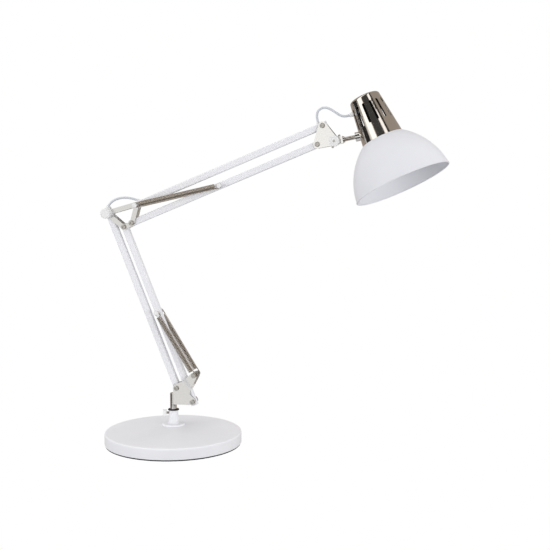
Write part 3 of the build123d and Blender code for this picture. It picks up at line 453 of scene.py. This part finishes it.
# Each route's ends leave their bush straight; the points between are the part's own, from the pivot beside them
elbow_pivot = PIVOT["elbow_level"]
spout_way = in_side_view(62)
elbow_start = elbow_pivot + LOWER_ALONG * 7.75 * MM
elbow_bush_way = in_side_view(-22)
elbow_end = PIVOT["upper_arm_tilt"] + UPPER_ALONG * 4.5 * MM + UPPER_NORMAL * TUBE_HALF + elbow_bush_way * MM
elbow_route = [
    elbow_start,
    elbow_start + spout_way * 7.0 * MM,
    elbow_pivot + Vector((5.4, 0, 17.9)) * MM,
    elbow_pivot + Vector((12.6, 0, 21.4)) * MM,
    elbow_pivot + Vector((21.4, 0, 23.2)) * MM,
    elbow_pivot + Vector((30.4, 0, 23.0)) * MM,
    elbow_end - elbow_bush_way * 8.0 * MM,
    elbow_end,
]
cable("elbow_cable_sheath", "elbow_cable", elbow_route, [(0.56, "rear_tube", "elbow"), (1.0, "elbow", "top_tube")])

head_pivot = PIVOT["head_level"]
head_bush_way = in_side_view(104)
head_start = head_pivot - UPPER_ALONG * 5.2 * MM + UPPER_NORMAL * TUBE_HALF
rod_side = (HEAD_UP * HEAD_UP.dot(ROD_ALONG) - ROD_ALONG).normalized()
grommet_out = rod_side * cos(GROMMET_TURN) + HEAD_UP.cross(rod_side) * sin(GROMMET_TURN)
grommet_seat = CAP_FOOT_RADIUS - CAP_TAPER * (GROMMET_HEIGHT - CAP_FOOT)
head_end = HEAD_ORIGIN + HEAD_UP * GROMMET_HEIGHT + grommet_out * (grommet_seat + GROMMET_GAP)
head_route = [
    head_start,
    head_start + head_bush_way * 6.2 * MM,
    head_pivot + Vector((-9.1, 0, 14.6)) * MM,
    head_pivot + Vector((-7.5, 0, 20.5)) * MM,
    head_pivot + Vector((-2.9, -0.2, 24.5)) * MM,
    head_pivot + Vector((3.4, -0.7, 25.7)) * MM,
    head_pivot + Vector((10.1, -1.8, 23.6)) * MM,
    head_pivot + Vector((17.6, -3.4, 18.9)) * MM,
    head_pivot + Vector((26.6, -5.0, 12.9)) * MM,
    head_end + grommet_out * 8.6 * MM,
    head_end,
]
cable("head_cable_sheath", "head_cable", head_route,
      [(0.46, "top_tube", "head_bracket"), (0.72, "head_bracket", "knuckle"), (1.0, "knuckle", "head")])


# Camera at the photograph's angle, fitted to the lamp's outline in it
camera_data = bpy.data.cameras.new("camera")
camera_data.lens = 67.87
camera_data.sensor_width = 36
camera_data.clip_end = 20
camera = bpy.data.objects.new("camera", camera_data)
camera.location = Vector((435.0, -1475.0, 401.9)) * MM
camera.rotation_euler = Vector((-0.18539, 0.97730, -0.10262)).to_track_quat("-Z", "Y").to_euler()
bpy.context.scene.collection.objects.link(camera)
bpy.context.scene.camera = camera


# Studio, in metres and watts

# Middle of the lamp along X, which the cards stand round, and the flat strips of each curved card
LAMP_MIDDLE = 0.1
CARD_STRIPS = 8


def floor_material():
    """Pale matt floor that the camera sees as white."""
    material, tree, coords = new_material("white_sweep")
    fleck = put(tree, "ShaderNodeTexNoise", Vector=coords, Scale=40.0)
    diffuse = put(tree, "ShaderNodeBsdfDiffuse", Color=ramp(tree, fleck.outputs["Fac"], "#BEBEC0", "#C4C4C5"))
    white = put(tree, "ShaderNodeEmission", Color=(1, 1, 1, 1), Strength=1.0)
    path = put(tree, "ShaderNodeLightPath")
    mixed = put(tree, "ShaderNodeMixShader", in0=path.outputs["Is Camera Ray"], in1=diffuse.outputs["BSDF"],
                in2=white.outputs["Emission"])
    put(tree, "ShaderNodeOutputMaterial", Surface=mixed.outputs["Shader"])
    material.cycles.emission_sampling = "NONE"
    return material


def studio_floor(half, drop):
    """Square floor just under the lamp, which reflections don't show."""
    mesh = bpy.data.meshes.new("floor")
    mesh.from_pydata([(-half, -half, 0), (half, -half, 0), (half, half, 0), (-half, half, 0)], [], [(0, 1, 2, 3)])
    mesh.materials.append(floor_material())
    floor = bpy.data.objects.new("floor", mesh)
    floor.location.z = -drop
    floor.visible_glossy = False
    bpy.context.scene.collection.objects.link(floor)


studio_floor(half=6.0, drop=0.5 * MM)


def softbox(name, location, target, size, power):
    """Rectangular area light aimed at a point."""
    light = bpy.data.lights.new(name, "AREA")
    light.shape = "RECTANGLE"
    light.size, light.size_y = size
    light.energy = power
    lamp = bpy.data.objects.new(name, light)
    lamp.location = location
    lamp.rotation_euler = (Vector(target) - Vector(location)).to_track_quat("-Z", "Y").to_euler()
    lamp.visible_glossy = False
    bpy.context.scene.collection.objects.link(lamp)


softbox("overhead", (-0.3, 1.0, 4.2), (LAMP_MIDDLE, 0, 0.3), (7.0, 7.0), 138)
softbox("low_right", (2.4, -1.0, 0.4), (0.25, 0, 0.25), (3.0, 0.8), 30)
softbox("low_left", (-2.3, -1.5, 0.6), (0.0, 0, 0.2), (3.0, 1.2), 32)
softbox("low_front", (0.2, -2.6, 0.4), (0.0, 0, 0.1), (3.2, 0.8), 9)


def glow(name, strength):
    """Even light of a studio card that only reflections show."""
    material, tree, coords = new_material(name)
    fall = put(tree, "ShaderNodeTexNoise", Vector=coords, Scale=1.5)
    light = put(tree, "ShaderNodeEmission", Color=linear("#FFFEFC"),
                Strength=spread(tree, fall.outputs["Fac"], 0.9 * strength, 1.1 * strength))
    put(tree, "ShaderNodeOutputMaterial", Surface=light.outputs["Emission"])
    material.cycles.emission_sampling = "NONE"
    return material


def reflection_cards(distance, low, high, cards):
    """Upright cards round the lamp that the polished metal mirrors: start and end azimuth from the front, strength."""
    for index, (start, end, strength) in enumerate(cards):
        turn = np.radians(np.linspace(start, end, CARD_STRIPS + 1))
        foot = np.stack([LAMP_MIDDLE + distance * np.sin(turn), -distance * np.cos(turn), 0 * turn + low], axis=1)
        head = foot + (0, 0, high - low)
        mesh = bpy.data.meshes.new(f"card_{index}")
        faces = [(i, i + 1, i + CARD_STRIPS + 2, i + CARD_STRIPS + 1) for i in range(CARD_STRIPS)]
        mesh.from_pydata(np.vstack([foot, head]).tolist(), [], faces)
        mesh.materials.append(glow(f"card_light_{index}", strength))
        card = bpy.data.objects.new(f"card_{index}", mesh)
        for ray in ("camera", "diffuse", "shadow", "transmission", "volume_scatter"):
            setattr(card, f"visible_{ray}", False)
        bpy.context.scene.collection.objects.link(card)


# Below the floor for the plates, level with the lower arm, and above it for the cap and rod
reflection_cards(2.0, -4.0, 0.0, [(-110, -34, 0.1), (-32, -10, 0.84), (-9, 70, 0.1)])
reflection_cards(2.0, 0.0, 0.75, [
    (-110, -66, 0.03), (-64, -26, 0.95), (-26, -13, 0.83), (-13, 4, 1.12), (18, 43, 0.95), (47, 63, 0.03),
])
reflection_cards(2.0, 0.75, 9.0, [
    (-71, -60, 0.03), (-58, -28, 1.7), (-25, 19, 0.065), (21, 40, 1.5), (42, 56, 0.03),
])


def world_light():
    """White to the camera, pale light on surfaces, a dim warm room in reflections."""
    world = bpy.data.worlds.new("studio")
    world.use_nodes = True
    tree = world.node_tree
    tree.nodes.clear()
    path = put(tree, "ShaderNodeLightPath")
    pale = put(tree, "ShaderNodeBackground", Color=linear("#F8F7F8"), Strength=0.43)
    room = put(tree, "ShaderNodeBackground", Color=linear("#ADA39A"), Strength=1.0)
    white = put(tree, "ShaderNodeBackground", Color=(1, 1, 1, 1), Strength=1.0)
    seen = put(tree, "ShaderNodeMixShader", in0=path.outputs["Is Glossy Ray"], in1=pale.outputs["Background"],
               in2=room.outputs["Background"])
    final = put(tree, "ShaderNodeMixShader", in0=path.outputs["Is Camera Ray"], in1=seen.outputs["Shader"],
                in2=white.outputs["Background"])
    put(tree, "ShaderNodeOutputWorld", Surface=final.outputs["Shader"])
    bpy.context.scene.world = world


world_light()
bpy.context.scene.view_settings.view_transform = "Standard"
